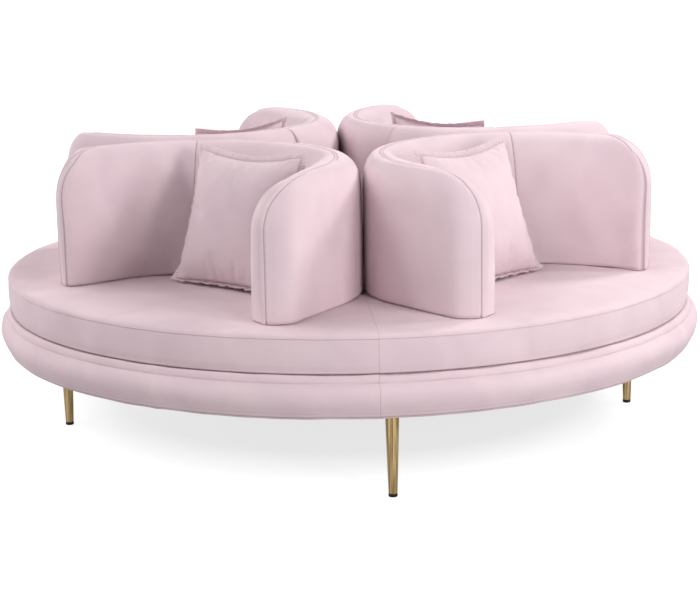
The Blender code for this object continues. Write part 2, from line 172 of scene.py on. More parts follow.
class SofaSizes(bpy.types.PropertyGroup):
    """Sizes of the upholstery that a user would change."""
    seam_depth: length("Seam depth", "How far the velvet is drawn in at a seam", 0.0034, 0.0, 0.01)
    seam_width: length("Seam width", "Distance over which a panel rises from its seam", 0.0030, 0.001, 0.03)
    softness: length("Softness", "Height of the slow waves that hand stuffing leaves", 0.0013, 0.0, 0.006)
    pillow_width: length("Pillow width", "Width of a pillow over its flange", 0.400, 0.2, 0.6)
    pillow_height: length("Pillow height", "Height of a pillow over its flange", 0.398, 0.2, 0.6)
    pillow_thickness: length("Pillow thickness", "Thickness of a pillow in its middle", 0.125, 0.04, 0.25)
    flange_width: length("Flange width", "Width of the flat edge round a pillow", 0.019, 0.0, 0.05)
    leg_top_diameter: length("Leg top diameter", "Diameter of a leg under the base", 0.0386, 0.01, 0.08)
    leg_foot_diameter: length("Leg foot diameter", "Diameter of a leg at its tip", 0.0236, 0.01, 0.08)


class SofaColours(bpy.types.PropertyGroup):
    """Colours of the finishes."""
    velvet: colour("Velvet", "Pile colour of the velvet", "#D8C3C9")
    velvet_dark: colour("Velvet shade", "Velvet where the pile leans away", "#CFB9C0")
    brass: colour("Brass", "Metal of the legs", "#DEC290")
    plastic: colour("Foot plastic", "Plastic of the foot tips", "#0A0A0A")
    timber: colour("Timber", "Plywood and pine of the frame", "#C9A878")


def sizes():
    return bpy.context.scene.sofa_sizes


def colours():
    return bpy.context.scene.sofa_colours


def set_node(tree, node, values):
    """Sets a node's attributes and inputs, by name or number; an input whose value is a socket is linked to it."""
    for key, value in values.items():
        if isinstance(value, bpy.types.NodeSocket):
            tree.links.new(value, node.inputs[key])
        elif isinstance(key, str) and hasattr(node, key):
            setattr(node, key, value)
        else:
            node.inputs[key].default_value = value
    return node


def add_node(tree, kind, inputs=None, **values):
    """Adds a shader node and sets values by name, then inputs by the names or numbers in a table."""
    return set_node(tree, tree.nodes.new("ShaderNode" + kind), {**values, **(inputs or {})})


def maths(tree, operation, *inputs):
    """Output of a Math node whose inputs are numbers or sockets."""
    return add_node(tree, "Math", dict(enumerate(inputs)), operation=operation).outputs[0]


def ranged(tree, value, low, high, from_low=0.0, from_high=1.0):
    """A value carried from its own range to the one from low to high."""
    ends = {"From Min": from_low, "From Max": from_high, "To Min": low, "To Max": high}
    return add_node(tree, "MapRange", ends, Value=value).outputs["Result"]


def blend(tree, share, first, second):
    """Colour between two, each a linear colour or a socket."""
    first, second = (end if isinstance(end, bpy.types.NodeSocket) else (*end, 1) for end in (first, second))
    return add_node(tree, "Mix", {6: first, 7: second}, data_type="RGBA", Factor=share).outputs[2]


def noise(tree, place, scale, detail, **more):
    """Noise pattern, its features about 1 / scale metres wide."""
    return add_node(tree, "TexNoise", Vector=place, Scale=scale, Detail=detail, **more).outputs["Fac"]


def cells(tree, place, scale, **more):
    """Distance to the nearest of scattered points, about 1 / scale metres apart."""
    return add_node(tree, "TexVoronoi", Vector=place, Scale=scale, **more).outputs["Distance"]


def stretched(tree, place, scale):
    """Coordinates scaled along each axis."""
    return add_node(tree, "Mapping", Vector=place, Scale=scale).outputs[0]


def stored(tree, name):
    """Value that the mesh stores under a name."""
    return add_node(tree, "Attribute", attribute_name=name).outputs["Fac"]


def bumped(tree, height, strength, distance):
    """Normal of a surface with a fine relief."""
    return add_node(tree, "Bump", Height=height, Strength=strength, Distance=distance).outputs["Normal"]


def short_pile_velvet(tree, shader, place):
    """Short-pile polyester velvet: matt and soft, lighter where the eye skims the pile.

    Slow patches show where the pile leans another way; a fine grain stands for the pile's tips. Seam grooves and
    the gaps under seat and shoulder get painted shade; topstitching is drawn from the run that the covers store.
    """
    # Pile patches of about 120 mm, brushed by hand
    patches = noise(tree, place, 8.0, 2.0, Roughness=0.45, Distortion=0.6)
    # Pile grain: real tips are 0.3 mm, drawn at 1.2 mm so that a render can show them
    grain = noise(tree, place, 820.0, 2.0)
    lean = ranged(tree, maths(tree, "MULTIPLY_ADD", grain, 0.30, patches), 0.0, 1.0, 0.42, 0.92)
    pile = blend(tree, lean, colours().velvet_dark, colours().velvet)
    # Painted shade: darker towards #6E5057 in the seam grooves and in the gaps under the seat and the base's
    # shoulder
    groove = maths(tree, "MULTIPLY", stored(tree, "seam_shade"), 0.55)
    # Topstitches 4 mm long, drawn every 7 mm along the covers' 1 m radius so that a render can show them
    beat = maths(tree, "SINE", maths(tree, "MULTIPLY", stored(tree, "stitch_run"), 2 * math.pi / 0.007))
    stitch = maths(tree, "MULTIPLY", ranged(tree, beat, 0.05, 0.30, -1.0, 1.0), stored(tree, "stitched"))
    shade = maths(tree, "MAXIMUM", groove, stitch)
    # Base colour: the pile, darkened towards #6E5057 by the painted shade and by the stitches
    set_node(tree, shader, {
        "Base Color": blend(tree, shade, pile, linear("#6E5057")), "Roughness": 0.90, "Specular IOR Level": 0.15,
        "Sheen Weight": 0.25, "Sheen Roughness": 0.45, "Sheen Tint": (*linear("#FFF2F4"), 1),
        "Normal": bumped(tree, grain, 0.25, 0.0005)})


def brushed_brass_satin(tree, shader, place):
    """Brushed brass, satin lacquered: fine marks run along the leg and stretch the highlights; bands of painted
    shade and shine run along it too.
    """
    # Brush marks 0.4 mm wide and 60 mm long, drawn at 1 mm, and bands 5 mm wide along the leg of painted shade and
    # shine
    run = stretched(tree, place, (1.0, 1.0, 0.02))
    marks = noise(tree, run, 900.0, 3.0)
    painted_shine_bands = ranged(tree, noise(tree, run, 210.0, 1.0), 0.0, 1.0, 0.34, 0.66)
    base = np.array(colours().brass)
    set_node(tree, shader, {
        # Painted reflection: the bands mix the brass between a dark brown shade and a bright shine
        "Base Color": blend(tree, painted_shine_bands, base * (0.55, 0.48, 0.36), np.minimum(base * 1.32, 1)),
        "Metallic": 1.0, "Roughness": ranged(tree, marks, 0.18, 0.30), "Normal": bumped(tree, marks, 0.12, 0.0002)})


def moulded_black_polyethylene(tree, shader, place):
    """Black moulded polyethylene: a fine spark-eroded grain breaks up its dull shine."""
    # Grain of 0.7 mm
    grain = noise(tree, place, 1500.0, 1.0)
    set_node(tree, shader, {
        "Base Color": (*colours().plastic, 1), "IOR": 1.51, "Roughness": ranged(tree, grain, 0.42, 0.62),
        "Normal": bumped(tree, grain, 0.2, 0.0002)})


def raw_poplar_plywood(tree, shader, place):
    """Unfinished poplar plywood: pale, dry, with long soft figure from the peeled log."""
    # Figure lines about 9 mm apart, stretched twelve times along X
    figure = noise(tree, stretched(tree, place, (0.08, 1.0, 1.0)), 110.0, 4.0, Distortion=0.8)
    base = np.array(colours().timber)
    set_node(tree, shader, {
        "Base Color": blend(tree, figure, base * 0.70, base), "Roughness": 0.72, "IOR": 1.5,
        "Normal": bumped(tree, figure, 0.3, 0.0004)})


def zinc_plated_steel(tree, shader, place):
    """Bright zinc plated steel: grey, with the cloudy spangle of plating."""
    # Spangle of about 5 mm
    cloud = cells(tree, place, 200.0)
    set_node(tree, shader, {
        "Base Color": blend(tree, cloud, linear("#A9ADB2"), linear("#C6C9CC")), "Metallic": 1.0,
        "Roughness": ranged(tree, cloud, 0.30, 0.46)})


def spun_bonded_lining(tree, shader, place):
    """Black spun-bonded polypropylene: a thin matt web, pressed with a small dot pattern."""
    # Press dots 1 mm apart, drawn at 2.5 mm
    dots = cells(tree, place, 400.0, Randomness=0.25)
    set_node(tree, shader, {
        "Base Color": blend(tree, dots, linear("#0E0E0F"), linear("#232325")), "Roughness": 0.95,
        "Normal": bumped(tree, dots, 0.4, 0.0003)})


def matt_white_floor(tree, shader, place):
    """Matt white floor that glows: white round the sofa for the camera with a painted soft shadow near it, and a
    faint glow for all rays.
    """
    # Patches of about 330 mm
    tone = noise(tree, place, 3.0, 2.0)
    # Painted soft shadow: the glow that the camera sees is weaker round a point a little behind the sofa's centre
    away = add_node(tree, "VectorMath", {0: place, 1: studio_point(0, -0.3, 0)}, operation="DISTANCE")
    camera_glow_with_painted_shadow = ranged(tree, away.outputs["Value"], 0.48, 0.72, 0.74, 1.06)
    seen = add_node(tree, "LightPath").outputs["Is Camera Ray"]
    # Painted light: the floor glows by 0.27 for all rays and lights the sofa from below; the camera also sees the
    # glow with its painted soft shadow
    set_node(tree, shader, {
        "Base Color": blend(tree, tone, linear("#878787"), linear("#8B8B8B")), "Roughness": 0.9,
        "Specular IOR Level": 0.1, "Emission Color": (1, 1, 1, 1),
        "Emission Strength": maths(tree, "MULTIPLY_ADD", camera_glow_with_painted_shadow, seen, 0.27)})


def finish(surface):
    """Material of a surface function, under the function's name, made on first use."""
    material = bpy.data.materials.get(surface.__name__)
    if not material:
        material = bpy.data.materials.new(surface.__name__)
        material.use_nodes = True
        tree = material.node_tree
        surface(tree, tree.nodes["Principled BSDF"], add_node(tree, "TexCoord").outputs["Object"])
    return material


def to_world(points, quarter):
    """Points (out, side, height) of a quarter, turned to the way that it faces."""
    turn = (quarter - 1) * math.pi / 2
    x, y = points[..., 1], -points[..., 0]
    return np.stack([x * math.cos(turn) - y * math.sin(turn), x * math.sin(turn) + y * math.cos(turn),
                     points[..., 2]], axis=-1)


def placed(name, data):
    """New object of some data, in the scene."""
    piece = bpy.data.objects.new(name, data)
    bpy.context.scene.collection.objects.link(piece)
    return piece


def grid_faces(rows, columns, wrap=False):
    """Quads of a grid whose point (row, column) has the index row * columns + column."""
    row, column = np.meshgrid(np.arange(rows - 1), np.arange(columns if wrap else columns - 1), indexing="ij")
    after = (column + 1) % columns
    return np.stack([row * columns + column, row * columns + after, (row + 1) * columns + after,
                     (row + 1) * columns + column], axis=-1).reshape(-1, 4)


def joined(grids):
    """Points and faces of several point grids, each given as (points, wrap)."""
    points, faces, start = [], [], 0
    for grid, wrap in grids:
        points.append(grid.reshape(-1, 3))
        faces.append(grid_faces(*grid.shape[:2], wrap) + start)
        start += len(points[-1])
    return np.concatenate(points), np.concatenate(faces).tolist()


def new_piece(name, points, faces, surface, merge=0, levels=0, sharp=0):
    """Object from points and faces, with its faces turned outwards.

    Points closer than merge are joined, levels is the subdivision, and edges over sharp degrees stay sharp.
    """
    mesh = bpy.data.meshes.new(name)
    mesh.from_pydata(points.tolist(), [], faces)
    work = bmesh.new()
    work.from_mesh(mesh)
    if merge:
        bmesh.ops.remove_doubles(work, verts=work.verts[:], dist=merge)
        bmesh.ops.dissolve_degenerate(work, edges=work.edges[:], dist=merge)
    bmesh.ops.recalc_face_normals(work, faces=work.faces[:])
    work.to_mesh(mesh)
    work.free()
    mesh.shade_smooth()
    if sharp:
        mesh.set_sharp_from_angle(angle=math.radians(sharp))
    mesh.materials.append(finish(surface))
    piece = placed(name, mesh)
    if levels:
        smooth = piece.modifiers.new("smooth", "SUBSURF")
        smooth.levels = smooth.render_levels = levels
    return piece


def points_of(mesh):
    """Vertices of a mesh as one array."""
    points = np.empty(len(mesh.vertices) * 3)
    mesh.vertices.foreach_get("co", points)
    return points.reshape(-1, 3)


def store(piece, name, values):
    """Stores a value at each point of a piece, for its material."""
    piece.data.attributes.new(name, "FLOAT", "POINT").data.foreach_set("value", values)


def unit(vectors):
    """Vectors of length 1."""
    return vectors / np.maximum(np.linalg.norm(vectors, axis=-1, keepdims=True), 1e-12)


def normals_of(grid):
    """Unit normals of a point grid, from the cross product of its two directions."""
    return unit(np.cross(np.gradient(grid, axis=0), np.gradient(grid, axis=1)))


def distance_to(points, line):
    """Distance from each point to a polyline, as the least over its segments, taken 40 at a time."""
    flat = points.reshape(-1, 3)
    start, step = line[:-1], np.diff(line, axis=0)
    reach = np.maximum((step ** 2).sum(1), 1e-12)
    nearest = np.full(len(flat), np.inf)
    for first in range(0, len(start), 40):
        part = slice(first, first + 40)
        offset = flat[:, None] - start[part]
        share = np.clip((offset * step[part]).sum(-1) / reach[part], 0, 1)
        gap = np.linalg.norm(offset - share[..., None] * step[part], axis=-1)
        nearest = np.minimum(nearest, gap.min(1))
    return nearest.reshape(points.shape[:-1])


def spline(points, steps=16):
    """Catmull-Rom curve: each stretch is the cubic that leaves and meets its ends along their neighbours' chord."""
    knots = np.asarray(points, dtype=float)
    knots = np.vstack([2 * knots[0] - knots[1], knots, 2 * knots[-1] - knots[-2]])
    t = np.linspace(0, 1, steps, endpoint=False)[None, :, None]
    before, start, end, after = (knots[i:len(knots) - 3 + i][:, None] for i in range(4))
    curve = 0.5 * (2 * start + (end - before) * t + (2 * before - 5 * start + 4 * end - after) * t ** 2
                   + (3 * start - before - 3 * end + after) * t ** 3)
    return np.vstack([curve.reshape(-1, knots.shape[1]), knots[-2]])


def at_shares(curve, measure, shares):
    """Points of a polyline at shares of a measure that grows along it."""
    return np.stack([np.interp(shares * measure[-1], measure, part) for part in curve.T], -1)


def length_along(line):
    """Length walked at each point of a polyline."""
    return np.concatenate([[0], np.cumsum(np.linalg.norm(np.diff(line, axis=0), axis=1))])


def by_length(curve, shares):
    """Points of a polyline at shares of its length."""
    return at_shares(curve, length_along(curve), shares)


def by_turn(curve, shares):
    """Points of a half outline at shares of its turn about the back's centre."""
    return at_shares(curve, np.arctan2(curve[:, 1], BACK_CENTRE - curve[:, 0]), shares)


def smoothstep(value, low, high):
    """0 below low, 1 above high, and a smooth cubic between them."""
    share = np.clip((value - low) / (high - low), 0, 1)
    return share * share * (3 - 2 * share)


def superellipse(value, start, end, low, high):
    """High up to start, then a quarter of a superellipse down to low at end."""
    share = np.clip((value - start) / (end - start), 0, 0.9999)
    return low + (high - low) * (1 - share ** RIM_POWER) ** (1 / RIM_POWER)


def rim(out, tip, fall):
    """Height of the sewn rim: level, then falling from out = fall to the arm's front at out = tip."""
    return superellipse(out, fall, tip, RIM_FALL_HEIGHT, RIM_SEAM)


def rim_slope(out, tip, fall):
    """Slope of the rim along out, by a small difference."""
    return (rim(out + 0.001, tip, fall) - rim(out - 0.001, tip, fall)) / 0.002


def rim_out(height, tip, fall):
    """Distance out at which the rim reaches a height: the same curve the other way round."""
    return superellipse(height, RIM_FALL_HEIGHT, RIM_SEAM, fall, tip)


def arc(radius, last_degrees, count=6):
    """Plan points of the back's round stretch."""
    angle = np.radians(np.linspace(0, last_degrees, count))
    return [(BACK_CENTRE - radius * math.cos(a), radius * math.sin(a)) for a in angle]


def arm_outlines(arm):
    """Plan curves of one half of a tub back: outer foot, outer seam, inner seam and inner foot.

    A full arm carries its outer front corner further out; a slim one cuts the corner.
    """
    spare = arm.radius - SOLID_RADIUS

    def between(slim, stuffed):
        return tuple(a + (b - a) * arm.full for a, b in zip(slim, stuffed))

    outer = spline(arc(arm.radius, 44) + [
        (0.376 - 0.3 * spare, 0.370 + 0.3 * spare), (0.465, 0.416), (0.565, 0.441), (0.640, 0.454),
        between((0.702, 0.451), (0.702, 0.460)), between((0.740, 0.428), (0.762, 0.455)), arm.outer[:2]])
    out, side, fall = arm.outer
    corner = rim_out(CORNER_HEIGHT, out, fall)
    outer_seam = spline(arc(OUTER_SEAM_ARC, 50) + [
        (0.420, 0.329), (0.500, 0.381), (0.600, 0.409), between((0.650, 0.411), (0.650, 0.415)),
        (corner - 0.045, side - 0.006), (corner, side - 0.001)])
    out, side, fall = arm.inner
    corner = rim_out(CORNER_HEIGHT, out, fall)
    inner_seam = spline(arc(INNER_SEAM_ARC, 50) + [
        (0.424, 0.321), (0.505, 0.371), (0.600, 0.394), (0.650, 0.395), (corner - 0.05, side + 0.033),
        (corner, side + 0.010)])
    inner = spline([(0.430, 0.0), (0.447, 0.120), (0.490, 0.205), (0.540, 0.250), (0.600, 0.278),
                    (0.670, 0.300), (0.735, 0.318), (out - 0.016, side - 0.016), (out, side)])
    return outer, outer_seam, inner_seam, inner


def whole(halves, shares):
    """Both halves of a plan curve at signed shares, left negative, at the height of the back's foot."""
    left, right = (by_turn(half, np.abs(shares)) for half in halves)
    plan = np.where(shares[:, None] < 0, left * (1, -1), right)
    return np.column_stack([plan, np.full(len(shares), BACK_FOOT)])


def front_seam(foot, corner, fall, shares):
    """Seam up the front of an arm, from its foot to the corner of the rim."""
    height = np.linspace(BACK_FOOT, corner[2], 60)
    side = foot[1] + (corner[1] - foot[1]) * smoothstep(height, RIM_FALL_HEIGHT - 0.1, corner[2])
    return by_length(np.column_stack([rim_out(height, foot[0], fall), side, height]), shares)


def bezier(points, t):
    """Cubic Bezier curves: points are four arrays of control points."""
    t = t[None, :, None]
    a, b, c, d = (point[:, None] for point in points)
    return (1 - t) ** 3 * a + 3 * (1 - t) ** 2 * t * b + 3 * (1 - t) * t ** 2 * c + t ** 3 * d


def pulled(grid, columns, ends, start):
    """Grid with its first and last line pulled onto two other lines, as is what lies beyond the share start."""
    for end, edge, near in ((ends[0], 0, smoothstep(-columns, start, 1.0)),
                            (ends[1], -1, smoothstep(columns, start, 1.0))):
        grid = grid + near[:, None, None] * (end - grid[edge])[None]
    return grid


def column_shares(join):
    """Places of the upright lines of a tub back, closer at the sewn joins and the fronts."""
    near = np.array([0, 0.0018, 0.0038, 0.0065, 0.010, 0.015, 0.023])
    marks = np.concatenate([near, -near])
    places = [np.linspace(-1, 1, 83), *(mark + marks for mark in (-join, 0, join)), near - 1, 1 - near]
    shares = np.unique(np.round(np.clip(np.concatenate(places), -1, 1), 5))
    fixed = np.isin(shares, np.round([-1, 1, -join, join, 0], 5))
    keep = np.ones(len(shares), bool)
    for step in (np.diff(shares, prepend=-2), -np.diff(shares, append=2)):
        keep &= (np.abs(step) > 0.0012) | fixed
    return shares[keep]


def row_shares():
    """Heights of the level lines of a panel, closer at the foot and the seam."""
    seam = 1 - np.array([0, 0.003, 0.0065, 0.011, 0.017, 0.025, 0.037, 0.052, 0.072, 0.10, 0.13, 0.165, 0.20,
                         0.25, 0.30])
    return np.unique(np.concatenate([np.linspace(0, 0.70, 24), [0.005, 0.011, 0.020], seam]))


def waves(points, seed):
    """Slow waves of hand stuffing: a sum of sines with lengths of 90 to 300 mm, from -1 to 1."""
    random = np.random.default_rng(seed)
    total = np.zeros(points.shape[:-1])
    for wave in (0.30, 0.21, 0.15, 0.11, 0.09):
        heading = random.normal(size=3)
        heading /= np.linalg.norm(heading)
        phase = random.uniform(0, 2 * math.pi)
        total += np.sin(points @ heading * 2 * math.pi / wave + phase) * (wave / 0.30) ** 0.6
    return total / 2.4


def raised(grid, seams, out_sign, seed, soft=0.0):
    """Panel lifted off its seams: along the normal it rises as 1 - exp(-distance / width), plus slow waves.

    The waves fade within 30 mm of a seam. At its foot the velvet turns under, so the last millimetres curl in.
    Where soft is 1, the rise is slight.
    """
    gap = np.min([distance_to(grid, seam) for seam in seams], axis=0)
    lift = sizes().seam_depth * (1 - SOFT_LOSS * soft) * (1 - np.exp(-gap / sizes().seam_width))
    lift += sizes().softness * waves(grid, seed) * (1 - np.exp(-gap / 0.03))
    lift -= CURL_DEPTH * (1 - smoothstep(grid[..., 2], BACK_FOOT, BACK_FOOT + CURL_HEIGHT)) ** 2
    return grid + out_sign * normals_of(grid) * lift[..., None]


def border_band(outer_line, inner_line, soft):
    """Border band between the two seams.

    It is ruled from seam to seam, swollen across the arm fronts, and beside the outer seam it has a rib where
    the seam's allowance is stitched down under the velvet. Where soft is 1, groove and rib are slight.
    """
    soft = soft[:, None]
    width = np.linalg.norm(inner_line - outer_line, axis=1)[:, None]
    # Grooves and rib shrink where the band is under 34 mm wide
    scale = np.minimum(1, width / 0.034)
    near = np.array(BAND_STEPS)
    last = near[-1] * scale / width
    share = np.concatenate([near * scale / width, last + (1 - 2 * last) * np.array([0.2, 0.4, 0.6, 0.8]),
                            1 - near[::-1] * scale / width], axis=1)
    band = outer_line[:, None] + (inner_line - outer_line)[:, None] * share[..., None]
    # The band swells by 4% of its width, and by 6.5% more on the arm fronts
    height = outer_line[:, 2:]
    front = smoothstep(height, BACK_FOOT, BACK_FOOT + 0.11) * (1 - smoothstep(height, 0.74, 0.83))
    swell = (0.040 + 0.065 * front) * width * 4 * share * (1 - share)
    gap = width * np.minimum(share, 1 - share)
    groove = sizes().seam_width * scale
    swell += sizes().seam_depth * scale * (1 - SOFT_LOSS * soft) * (1 - np.exp(-gap / groove))
    rib = (1 - smoothstep(width * share / scale, *RIB_SIDE)) * (1 - soft)
    swell += RIB_HEIGHT * rib * smoothstep(width, 0.026, 0.040) * (1 - np.exp(-gap / 0.0015))
    normal = normals_of(band)
    inside = np.array([0.5, 0.0, 0.5])
    normal *= np.sign(np.sum(normal * (band - inside), axis=-1, keepdims=True))
    return band + normal * swell[..., None]


def outer_lines(columns, foot, seam, slope):
    """Upright lines of the outer panel: straight up, then a Bezier curve that rolls over to the seam."""
    front = smoothstep(np.abs(columns), 0.80, 1.0)
    roll = RIM_SEAM - ROLL_HEIGHT + (RIM_FALL_HEIGHT - RIM_SEAM + ROLL_HEIGHT) * front
    toward = seam - foot
    toward[:, 2] = slope * toward[:, 0]
    start = np.column_stack([foot[:, :2], roll])
    rise = (seam[:, 2] - toward[:, 2] - roll)[:, None] * UP
    over = bezier([start, start + 0.60 * rise, seam - 0.60 * toward, seam], np.linspace(0, 1, 40))
    return np.concatenate([foot[:, None], over], axis=1)


def inner_lines(columns, foot, seam, slope):
    """Upright lines of the inner panels: one Bezier curve, sloped behind the sitter and round on the arms."""
    arm = smoothstep(np.abs(columns), 0.28, 0.62)[:, None]
    span = (foot - seam) * (1, 1, 0)
    lift = (seam[:, 2] - BACK_FOOT)[:, None] * UP
    low = foot + lift * (0.45 + 0.40 * arm) - span * (0.24 - 0.30 * arm)
    high = seam + (span + (slope * span[:, 0])[:, None] * UP) * (0.36 + 0.26 * arm)
    return bezier([foot, low, high, seam], np.linspace(0, 1, 40))


def panel(columns, curves, arms, lines):
    """Point grid of the outer or inner panel, from the plan curves of its foot and its seam and its arms' ends."""
    foot, seam = (whole(halves, columns) for halves in curves)
    tip, _, fall = (np.where(columns < 0, *ends) for ends in zip(*arms))
    seam[:, 2] = rim(seam[:, 0], tip, fall)
    rows = row_shares()
    fronts = [front_seam(foot[edge], seam[edge], fall[edge], rows) for edge in (0, -1)]
    upright = lines(columns, foot, seam, rim_slope(seam[:, 0], tip, fall))
    return pulled(np.stack([by_length(line, rows) for line in upright]), columns, fronts, 0.72)


def tub_back(quarter):
    """One tub back as a closed form: outer panel, border band, inner panels and underside.

    The band spans the outer and the inner seam, and the underside is ruled from foot to foot.
    """
    join = INNER_JOIN[quarter]
    columns = column_shares(join)
    arms = ARMS[quarter]
    outer_foot, outer_seam, inner_seam, inner_foot = zip(*(arm_outlines(arm) for arm in arms))
    outer = panel(columns, (outer_foot, outer_seam), [arm.outer for arm in arms], outer_lines)
    inner = panel(columns, (inner_foot, inner_seam), [arm.inner for arm in arms], inner_lines)

    # Seams as one line each, from foot to foot
    loops = [np.concatenate([grid[0], grid[1:-1, -1], grid[-1, ::-1]]) for grid in (outer, inner)]
    middle, *joins = (grid[np.argmin(np.abs(columns - place))]
                      for grid, place in ((outer, 0), (inner, -join), (inner, join)))
    start, end = SOFT_SEAM.get(quarter, NO_STRETCH)
    soft = smoothstep(columns, start, start + 0.08) * (1 - smoothstep(columns, end - 0.06, end))
    front = np.zeros(outer.shape[1])
    loop_soft = np.concatenate([front, soft[1:-1], front])
    hidden = np.nonzero(loop_soft > 0.5)[0]

    def shown(line):
        """Parts of a line along the outer seam where its groove shows."""
        return [line[:hidden[0] + 1], line[hidden[-1]:]] if len(hidden) else [line]

    band = border_band(*loops, loop_soft)
    outer = raised(outer, [loops[0], middle], -1, 10 + quarter, soft[:, None])
    inner = raised(inner, [loops[1], *joins], 1, 20 + quarter)
    across = np.linspace(0, 1, band.shape[1])[None, :, None]
    under = pulled(outer[:, :1] + (inner[:, :1] - outer[:, :1]) * across, columns, (band[0], band[-1]), 0.9)
    grids = [(to_world(grid, quarter), False) for grid in (outer, inner, band, under)]
    piece = new_piece(f"tub_back_velvet_{quarter}", *joined(grids), short_pile_velvet, SEWN, levels=1)
    # Painted shade along the seams, fainter along the foot of the rib, and none where the stuffing fills the outer
    # seam
    mark_seams(piece, [to_world(line, quarter) for line in (*shown(loops[0]), loops[1], middle, *joins)],
               [to_world(line, quarter) for line in shown(band[:, RIB_EDGE])])
    return piece


def mark_seams(piece, lines, faint=()):
    """Stores how close each point is to a seam, 1 on it and fading over 2 mm, for the painted shade in its groove.

    Faint lines count for less than half.
    """
    points = points_of(piece.data)
    shade = np.zeros(len(points))
    for line, strength in [(line, 1.0) for line in lines] + [(line, FAINT) for line in faint]:
        shade = np.maximum(shade, strength * np.exp(-(distance_to(points, line) / SEAM_REACH) ** 2))
    store(piece, "seam_shade", shade)


def ring_sector(profile, seams, count, seed, seam_fade):
    """Quarter of a ring-shaped cover: a closed profile of (radius, height) carried round the centre.

    It sinks by 0.9 mm times exp(-distance / 2 mm) at each radial seam, and carries the slow waves of hand
    stuffing, which fade within 20 mm of a seam and only sink it, so that it stays clear of what stands on it.
    The quarter stands 0.3 mm out, clear of its neighbours.
    """
    angle = sector_angles(seams, count)
    cosine, sine = np.cos(angle)[:, None], np.sin(angle)[:, None]
    radius, height = profile[None, :, 0], profile[None, :, 1]
    gap = np.min([radius * np.abs(angle - seam)[:, None] for seam in seams], axis=0)
    points = np.stack([radius * cosine, radius * sine, np.broadcast_to(height, gap.shape)], axis=-1)
    normal = unit(np.gradient(profile, axis=0)[:, ::-1] * (1, -1))
    lift = seam_fade[None] * (sizes().softness * (waves(points, seed) - 1) * (1 - np.exp(-gap / 0.02))
                              - 0.0009 * np.exp(-gap / 0.0020))
    points[..., 0] += lift * normal[None, :, 0] * cosine + 0.0003
    points[..., 1] += lift * normal[None, :, 0] * sine
    points[..., 2] += lift * normal[None, :, 1]
    return points


def sector_angles(seams, count):
    """Angles of a quarter's radial lines, closer at its seams."""
    near = np.array([0, 0.0012, 0.0026, 0.0045, 0.007, 0.011, 0.017])
    places = [np.linspace(-HALF_QUARTER, HALF_QUARTER, count),
              *(seam + sign * near for seam in seams for sign in (-1, 1))]
    angle = np.concatenate(places)
    return np.unique(np.round(angle[np.abs(angle) <= HALF_QUARTER + 1e-9], 6))


def seat_cushion(quarter):
    """Quarter seat cushion: full side, rolled edge with its seam, and a top that is crowned between the arms."""
    low = SEAT_FOOT
    edge = spline([(0.9505, low + 0.0057), (0.9505, low), (0.980, low), (0.9874, low + 0.0002),
                   (0.9898, low + 0.0013), (0.9912, low + 0.0035), (0.9928, 0.3740), (0.9972, 0.3900),
                   (0.9995, 0.4100), (1.0002, 0.4300), (0.9998, 0.4460), (0.9992, 0.4535), (0.9984, 0.4562),
                   (1.0000, 0.4580), (0.9994, 0.4600), (0.9972, 0.4655), (0.9915, 0.4698), (0.9820, 0.4724),
                   (0.9660, 0.4738)], 7)
    inside = np.column_stack([np.linspace(0.955, 0.004, 60), np.full(60, SEAT_TOP)])
    profile = np.vstack([[(0.004, low + 0.0057)], edge, inside])
    fade = smoothstep(profile[:, 0], 0.02, 0.10) * smoothstep(profile[:, 1], low, 0.376)
    points = ring_sector(profile, (-HALF_QUARTER, HALF_QUARTER), 110, 30 + quarter, fade)
    out, side = points[..., 0], points[..., 1]
    # The crown is 10 mm high between the arms
    crown = 0.010 * np.clip(1 - ((out - 0.745) / 0.235) ** 2, 0, 1) * np.clip(1 - (side / 0.30) ** 2, 0, 1)
    # The seat wells up in front of the arms, which press it down
    crown += 0.0035 * np.exp(-(np.hypot(out - 0.862, np.abs(side) - 0.400) / 0.024) ** 2)
    points[..., 2] += crown * smoothstep(profile[:, 1], 0.462, SEAT_TOP)
    # The edge seam is stitched; painted shade lies along the seat's lower edge, in the gap over the base
    return closed_sweep(f"seat_velvet_{quarter}", to_world(points, quarter), [(0.9984, 0.4562)],
                        [(0.9900, low + 0.0014)])


def base_cover(quarter):
    """Quarter cover of the base: folded bottom edge, hem, full side, seam and shoulder."""
    low, high = BASE_FOOT, SEAT_FOOT - 0.001
    puff = SHOULDER_PUFF[quarter]
    profile = spline([(0.9566, low), (0.985, low), (0.9985, low + 0.0005), (1.0015, 0.2550), (1.0050, 0.2590),
                      (1.0056, 0.2605), (1.0080, 0.2620), (1.0120, 0.2700), (1.0160, 0.2780), (1.0215, 0.2890),
                      (1.0258, 0.3020), (1.0270, 0.3140), (1.0250, 0.3260), (1.0185, 0.3375), (1.0095, 0.3455),
                      (1.0062, 0.3474), (1.0064, 0.3494), (1.0058, 0.3534 + 0.4 * puff),
                      (1.0030, 0.3596 + 0.8 * puff), (0.9972, 0.3640 + puff), (0.9890, high - 0.0003),
                      (0.9780, high), (0.9566, high)], 6)
    fade = smoothstep(profile[:, 0], 0.970, 0.992)
    points = ring_sector(profile, (-HALF_QUARTER, math.radians(45 - 33.8), HALF_QUARTER), 96, 40 + quarter, fade)
    # Painted shade lies along the hem's seam and along the top of the shoulder under the seat; the shoulder seam
    # and the hem are stitched
    return closed_sweep(f"base_velvet_{quarter}", to_world(points, quarter),
                        [(1.0062, 0.3474), (1.0125, 0.2715)], [(1.0056, 0.2605), (0.9900, high)])


